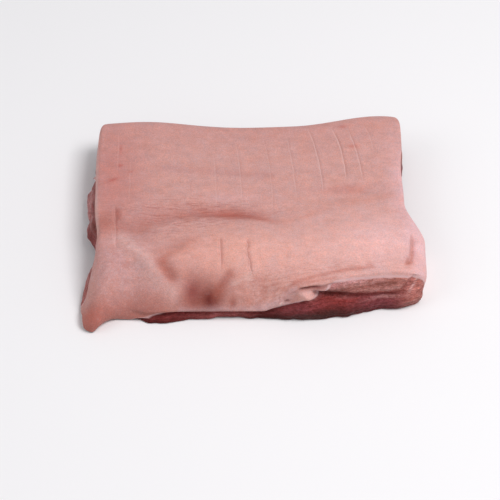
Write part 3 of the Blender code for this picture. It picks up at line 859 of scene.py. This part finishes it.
# %% Score lines
# the lip's paleness is a painted highlight and the shadow beside it a painted shadow
SCORES = [  # back end, front end, bow, how pale the lip is, how dark the shadow, how far the line strays
    ((35.2, 96), (44.8, 2), 1.7, 0.45, 0.45, 2),
    ((56.6, 104), (70.1, 12), 2.9, 0.8, 0.8, 2),
    ((80, 102), (92.3, 28), 3.0, 0.9, 1.0, 2),
    ((95, 99), (108.1, 28), 2.5, 0.8, 0.8, 2),
    ((111.2, 101), (119.2, 66), 2.3, 0.3, 0.3, 2),
    ((13.9, 86), (22, -20), 2.7, 0.35, 0.35, 2),
    ((-13.1, 85), (-6.1, -9), 1.0, 0.4, 0.35, 2),
    ((-34.7, 68), (-30.6, -8), 1.0, 0.35, 0.3, 2),
    ((-57.3, 30), (-57.1, 4), 0.5, 0.2, 0.2, 2),
    ((-95, 22), (-94.6, -4), 0.5, 0.2, 0.2, 2),
    ((-114, 62), (-113, -6), 0.3, 0.25, 0.2, 2),
    ((-126.5, 92), (-126, 42), 0.3, 0.25, 0.2, 2),
    ((-27.4, -47), (-25.7, -87), 0.2, 0.4, 1.2, 1),  # the last four are the creases' own thin lines
    ((-0.6, -49), (2.4, -93), -2.4, 0.5, 1.1, 9),
    ((-126.4, -3), (-125, -28), 0.2, 0.15, 1.5, 2),
    ((-125.3, -22), (-123.6, -58), 0.2, 0.5, 0.4, 2),
]
print(len(SCORES), "scores, the longest", max(round(back[1] - front[1]) for back, front, *_ in SCORES), "mm")

# %% Lip and shadow of each score
STRAY, LIP_MIDDLE, LIP_REACH, SHADOW_START, SHADOW_END = 8, -0.5, 0.7, 0.1, 2.6  # mm, to the right of the line
stray_noise = add("TexNoise", {"Vector": place, "Scale": 1 / STRAY, "Detail": 3.0})
straying = add("Math", {0: stray_noise, 1: 0.5}, operation="SUBTRACT")
plain_across, along = (add("SeparateXYZ", {0: place}, output=axis) for axis in "XY")
lit_lips, shadows = 0.0, 0.0
for (back_x, back_y), (front_x, front_y), bow, lip_highlight, shadow_share, strays in SCORES:
    across = add("Math", {0: straying, 1: strays, 2: plain_across}, operation="MULTIPLY_ADD")
    middle_x, half_x = (back_x + front_x) / 2 + bow - SHIFT[0], (back_x - front_x) / 2
    middle_y, half_y = (back_y + front_y) / 2 - SHIFT[1], (back_y - front_y) / 2
    from_middle = add("Math", {0: along, 1: middle_y}, operation="SUBTRACT")
    t = add("Math", {0: from_middle, 1: half_y}, operation="DIVIDE")
    slant = add("Math", {0: t, 1: -bow, 2: half_x}, operation="MULTIPLY_ADD")
    sag = add("Math", {0: slant, 1: t, 2: middle_x}, operation="MULTIPLY_ADD")
    aside = add("Math", {0: across, 1: sag}, operation="SUBTRACT")
    ends = add("MapRange", {0: add("Math", {0: t}, operation="ABSOLUTE"), 1: 0.6, 2: 1.0, 3: 1.0, 4: 0.0})
    lip = add("Math", {0: aside, 1: LIP_MIDDLE, 2: LIP_REACH}, operation="COMPARE")
    lip = add("Math", {0: lip, 1: ends}, operation="MULTIPLY")
    shadow = add("MapRange", {0: aside, 1: SHADOW_START, 2: SHADOW_END, 3: 1.0, 4: 0.0})
    right_of = add("Math", {0: aside, 1: SHADOW_START}, operation="GREATER_THAN")
    for limit in (right_of, ends):
        shadow = add("Math", {0: shadow, 1: limit}, operation="MULTIPLY")
    lit_lips = add("Math", {0: lip, 1: lip_highlight, 2: lit_lips}, operation="MULTIPLY_ADD")
    shadows = add("Math", {0: shadow, 1: shadow_share, 2: shadows}, operation="MULTIPLY_ADD")
print("nodes so far:", len(pork.node_tree.nodes))

# %% [markdown]
# ## The cut's bands
#
# On the cut face the same layers that shaped the relief are coloured: pinkish fat under the rind, brown-pink lean
# that has dried in the air, a thin line of fat, then wet purple-red lean that is darkest at the table, partly as
# painted shade. The depth is first disturbed by noise, since no band in meat is straight, and fibres 1.5 mm thick
# run along it. The colours of single streaks and pools, which are painted on the mesh, are laid over the bands where
# the fibres let them; painted shade in the split, a painted shadow under the rind's edge and painted shade along
# the foot are among them.

# %% Fat and lean
BANDS, WAVER, FIBRE = 50, 13, (9, 9, 1.5)
broad = add("TexNoise", {"Vector": place, "Scale": 1 / WAVER, "Detail": 2.0})
flat_place = add("VectorMath", {0: place, 1: FIBRE}, operation="DIVIDE")
fibres = add("TexNoise", {"Vector": flat_place, "Scale": 1.0, "Detail": 3.0, "Roughness": 0.6})
waver = add("Math", {0: broad, 1: 7.0, 2: -3.5}, operation="MULTIPLY_ADD")
waver = add("Math", {0: fibres, 1: 5.0, 2: waver}, operation="MULTIPLY_ADD")
uneven_depth = add("Math", {0: layer_depth, 1: waver}, operation="ADD")
band_place = add("Math", {0: uneven_depth, 1: 1 / BANDS}, operation="MULTIPLY")
# the darkest stops, from 0.76 on near the table, are partly painted shade
bands = add("ValToRGB", {0: band_place}, stops=[  # the ramp's own two ends come first
    (0.00, "#c2928c"), (1.00, "#9a5a54"), (0.07, "#c99a94"), (0.16, "#c08c85"), (0.22, "#b07f76"), (0.29, "#a06c62"),
    (0.34, "#b78a82"), (0.38, "#92504a"), (0.43, "#76322d"), (0.52, "#7e3d3c"), (0.64, "#783a3a"), (0.76, "#5f2220"),
    (0.86, "#471311"), (0.94, "#521b19"),
])
let_through = add("Math", {0: fibres, 1: 1.2, 2: 0.4}, operation="MULTIPLY_ADD")
laid_over = add("Math", {0: let_through, 1: flesh_cover}, operation="MULTIPLY", use_clamp=True)
meat = add("Mix", {0: laid_over, 1: bands, 2: flesh}, data_type="RGBA")
print("bands over", BANDS, "mm, fibres", FIBRE[2], "mm")

# %% Torn patches, fibres and speckle
TORN_PATCH = (4, 4, 2)
torn_place = add("VectorMath", {0: place, 1: TORN_PATCH}, operation="DIVIDE")
torn = add("TexNoise", {"Vector": torn_place, "Scale": 1.0, "Detail": 5.0, "Roughness": 0.75, "Distortion": 0.8})
torn_share = add("MapRange", {0: torn, 1: 0.4, 2: 0.6})
torn_hue = add("Mix", {0: torn_share, 1: linear("#cebab4"), 2: linear("#fffcff")}, data_type="RGBA")
meat = add("Mix", {0: 1.0, 1: meat, 2: torn_hue}, data_type="RGBA", blend_type="MULTIPLY")
fibre_light = add("MapRange", {0: fibres, 1: 0.3, 2: 0.7, 3: 1.05, 4: 1.5})
cut_colour = add("Mix", {0: 1.0, 1: meat, 2: fibre_light}, data_type="RGBA", blend_type="MULTIPLY")
speckle = add("MapRange", {0: grain, 1: 0.3, 2: 0.7, 3: 0.8, 4: 1.2})
cut_colour = add("Mix", {0: 1.0, 1: cut_colour, 2: speckle}, data_type="RGBA", blend_type="MULTIPLY")
cut_hue = add("Mix", {0: fine_warmth, 1: linear("#f1fbff"), 2: linear("#fff9f6")}, data_type="RGBA")
cut_colour = add("Mix", {0: 1.0, 1: cut_colour, 2: cut_hue}, data_type="RGBA", blend_type="MULTIPLY")
print("torn patches", TORN_PATCH, "mm, speckle as fine as the rind's grain,", GRAIN, "mm")

# %% [markdown]
# ## Putting rind and cut together
#
# The rind's colour is the painted tint, made a little lighter and darker by mottling and grain, and redder in the
# blotches, wrinkles and pores; the wrinkles' darkening is partly painted shade in their grooves, the scores add a
# painted shadow and a painted highlight, and the pale flecks are painted glints. Where `below` passes a millimetre,
# the edge of the rind itself shows as a pale line, and two millimetres further down the cut takes over. The same
# masks drive the bump, so a wrinkle is both darker and deeper.

# %% Colour of the rind
BROAD_HUE = 14  # mm
cloudy = add("MapRange", {0: mottle, 1: 0.3, 2: 0.7, 3: 0.98, 4: 1.1})
grainy = add("MapRange", {0: grain, 1: 0.3, 2: 0.7, 3: 0.86, 4: 1.13})
streaky = add("MapRange", {0: streaks, 1: 0.35, 2: 0.65, 3: 0.965, 4: 1.03})
shade = add("Math", {0: add("Math", {0: cloudy, 1: grainy}, operation="MULTIPLY"), 1: streaky}, operation="MULTIPLY")
broad_noise = add("TexNoise", {"Vector": place, "Scale": 1 / BROAD_HUE, "Detail": 4.0})
broad_warmth = add("MapRange", {0: broad_noise, 1: 0.35, 2: 0.65})
broad_hue = add("Mix", {0: broad_warmth, 1: linear("#fafdff"), 2: linear("#fffaf6")}, data_type="RGBA")
rind_hue = add("Mix", {0: fine_warmth, 1: linear("#f4faff"), 2: linear("#fff8f5")}, data_type="RGBA")
rind_colour = tint
for filter_colour in (shade, broad_hue, rind_hue):
    rind_colour = add("Mix", {0: 1.0, 1: rind_colour, 2: filter_colour}, data_type="RGBA", blend_type="MULTIPLY")
# wrinkles are darkened partly as painted shade in their grooves, the scores' shadows are painted shadow, and their
# lips and the pale flecks are painted highlights
for mask, strength, hex_colour in (
    (ruddy, 0.4, "#b06555"), (painted_glints, 0.25, "#ebcac8"), (wrinkles, 0.42, "#a4574a"), (pits, 0.12, "#a75f55"),
    (shadows, 0.3, "#a4655a"), (lit_lips, 0.4, "#e6bfb8"),
):
    cover = add("Math", {0: mask, 1: strength}, operation="MULTIPLY", use_clamp=True)
    rind_colour = add("Mix", {0: cover, 1: rind_colour, 2: linear(hex_colour)}, data_type="RGBA")
print("rind: hue changes over", BROAD_HUE, "and", FINE_HUE, "mm")

# %% Frayed edge between rind and cut
frayed = add("Math", {0: fibres, 1: 1.6, 2: -0.8}, operation="MULTIPLY_ADD")
frayed = add("Math", {0: below_rind, 1: frayed}, operation="ADD")
is_edge = add("MapRange", {0: frayed, 1: 0.3, 2: 0.9, 3: 0.0, 4: 1.0})
is_cut = add("MapRange", {0: frayed, 1: 2.2, 2: 3.4, 3: 0.0, 4: 1.0})
half_edge = add("Math", {0: is_edge, 1: 0.7}, operation="MULTIPLY")
colour = add("Mix", {0: half_edge, 1: rind_colour, 2: linear("#d6b0af")}, data_type="RGBA")
colour = add("Mix", {0: is_cut, 1: colour, 2: cut_colour}, data_type="RGBA")
print("the rind's edge is a pale line about 2 mm wide")

# %% Gloss, bump and shader
dry = add("MapRange", {0: mottle, 1: 0.3, 2: 0.7, 3: 0.44, 4: 0.56})
wet = add("MapRange", {0: fibres, 1: 0.3, 2: 0.7, 3: 0.26, 4: 0.42})
roughness = add("Mix", {0: is_cut, 1: dry, 2: wet}, data_type="FLOAT")
rind_height = add("Math", {0: grain, 1: 0.25}, operation="MULTIPLY")
for mask, depth_mm in ((wrinkles, -0.3), (pits, -0.18), (shadows, -0.5), (lit_lips, 0.35)):
    rind_height = add("Math", {0: mask, 1: depth_mm, 2: rind_height}, operation="MULTIPLY_ADD")
cut_height = add("Math", {0: fibres, 1: 1.6}, operation="MULTIPLY")
height_mm = add("Mix", {0: is_cut, 1: rind_height, 2: cut_height}, data_type="FLOAT")
bump = add("Bump", {"Strength": 0.8, "Distance": 0.001, "Height": height_mm})
shader = add("BsdfPrincipled", {
    "Base Color": colour, "Roughness": roughness, "Normal": bump, "IOR": 1.36, "Specular IOR Level": 0.15,
    "Subsurface Weight": 0.15, "Subsurface Radius": (1.0, 0.45, 0.35), "Subsurface Scale": 0.003,
})
surface = pork.node_tree.nodes.new("ShaderNodeOutputMaterial")
pork.node_tree.links.new(shader, surface.inputs["Surface"])
mesh.materials.append(pork)
print("raw pork:", len(pork.node_tree.nodes), "nodes")

# %% [markdown]
# ## The place it lies in
#
# The part is shown on a plain pale surface under soft studio light: a large key light high on the right, as the
# bright roll and the darker left side ask for, a weak fill from the left and an even pale sky. The key is a metre
# wide, three times as long as the slab, which gives the soft shading that raw meat has in a shop photograph.

# %% Floor, lights and sky
scene = bpy.context.scene
floor_mesh = bpy.data.meshes.new("floor")
floor_form = bmesh.new()
bmesh.ops.create_grid(floor_form, x_segments=1, y_segments=1, size=3)
floor_form.to_mesh(floor_mesh)
floor_form.free()
floor = bpy.data.objects.new("floor", floor_mesh)
scene.collection.objects.link(floor)
floor_finish = bpy.data.materials.new("matt_white_board")
floor_finish.use_nodes = True
floor_finish.node_tree.nodes["Principled BSDF"].inputs["Base Color"].default_value = linear("#f2f1ef")
floor_finish.node_tree.nodes["Principled BSDF"].inputs["Roughness"].default_value = 0.8
floor_mesh.materials.append(floor_finish)
floor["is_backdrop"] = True


def soft_light(name, place_m, size_m, watts, hex_colour):
    """A square area light that looks at the slab."""
    light = bpy.data.objects.new(name, bpy.data.lights.new(name, "AREA"))
    light.data.shape, light.data.size, light.data.energy = "SQUARE", size_m, watts
    light.data.color = linear(hex_colour)[:3]
    light.location = place_m
    light.rotation_euler = (-Vector(place_m)).to_track_quat("-Z", "Y").to_euler()
    scene.collection.objects.link(light)


soft_light("key", (1.0, -0.3, 2.0), 1.0, 35, "#fdfbff")
soft_light("fill", (-1.6, -0.5, 1.4), 1.2, 7, "#f8f9ff")
sky = bpy.data.worlds.new("pale_sky")
sky.use_nodes = True
sky.node_tree.nodes["Background"].inputs["Color"].default_value = linear("#f4f5fa")
sky.node_tree.nodes["Background"].inputs["Strength"].default_value = 0.44
scene.world = sky
scene.view_settings.view_transform = "Standard"

# %% [markdown]
# ## The camera
#
# The photograph looks down on the slab from the front, at 48 degrees above the table, from about two metres with a
# long lens, so that far and near edges are almost the same length. The camera aims at a point of the table a little
# in front of the slab's middle, which puts the slab where the photograph has it.

# %% Camera
ELEVATION, DISTANCE_M, LENS_MM = 48, 1.9, 144
AIM = (0.5, -22.0, 0.0)
tilt = math.radians(ELEVATION)
aim = Vector(to_frame(AIM))
camera = bpy.data.objects.new("camera", bpy.data.cameras.new("camera"))
camera.data.lens, camera.data.sensor_width = LENS_MM, 36
camera.location = aim + DISTANCE_M * Vector((0, -math.cos(tilt), math.sin(tilt)))
camera.rotation_euler = (aim - camera.location).to_track_quat("-Z", "Y").to_euler()
scene.collection.objects.link(camera)
scene.camera = camera
print("camera at", [round(c, 3) for c in camera.location], "m")

# %% [markdown]
# ## Keep the sizes
#
# The imported solid's box and the dressed slab's box are printed side by side. The dressed slab has to
# stay in the imported solid's box.

# %% Sizes
sizes = {"cad": [list(corner) for corner in cad_box], "dressed": [list(corner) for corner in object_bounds()]}
print({name: [[round(c * 1000, 1) for c in corner] for corner in box] for name, box in sizes.items()})
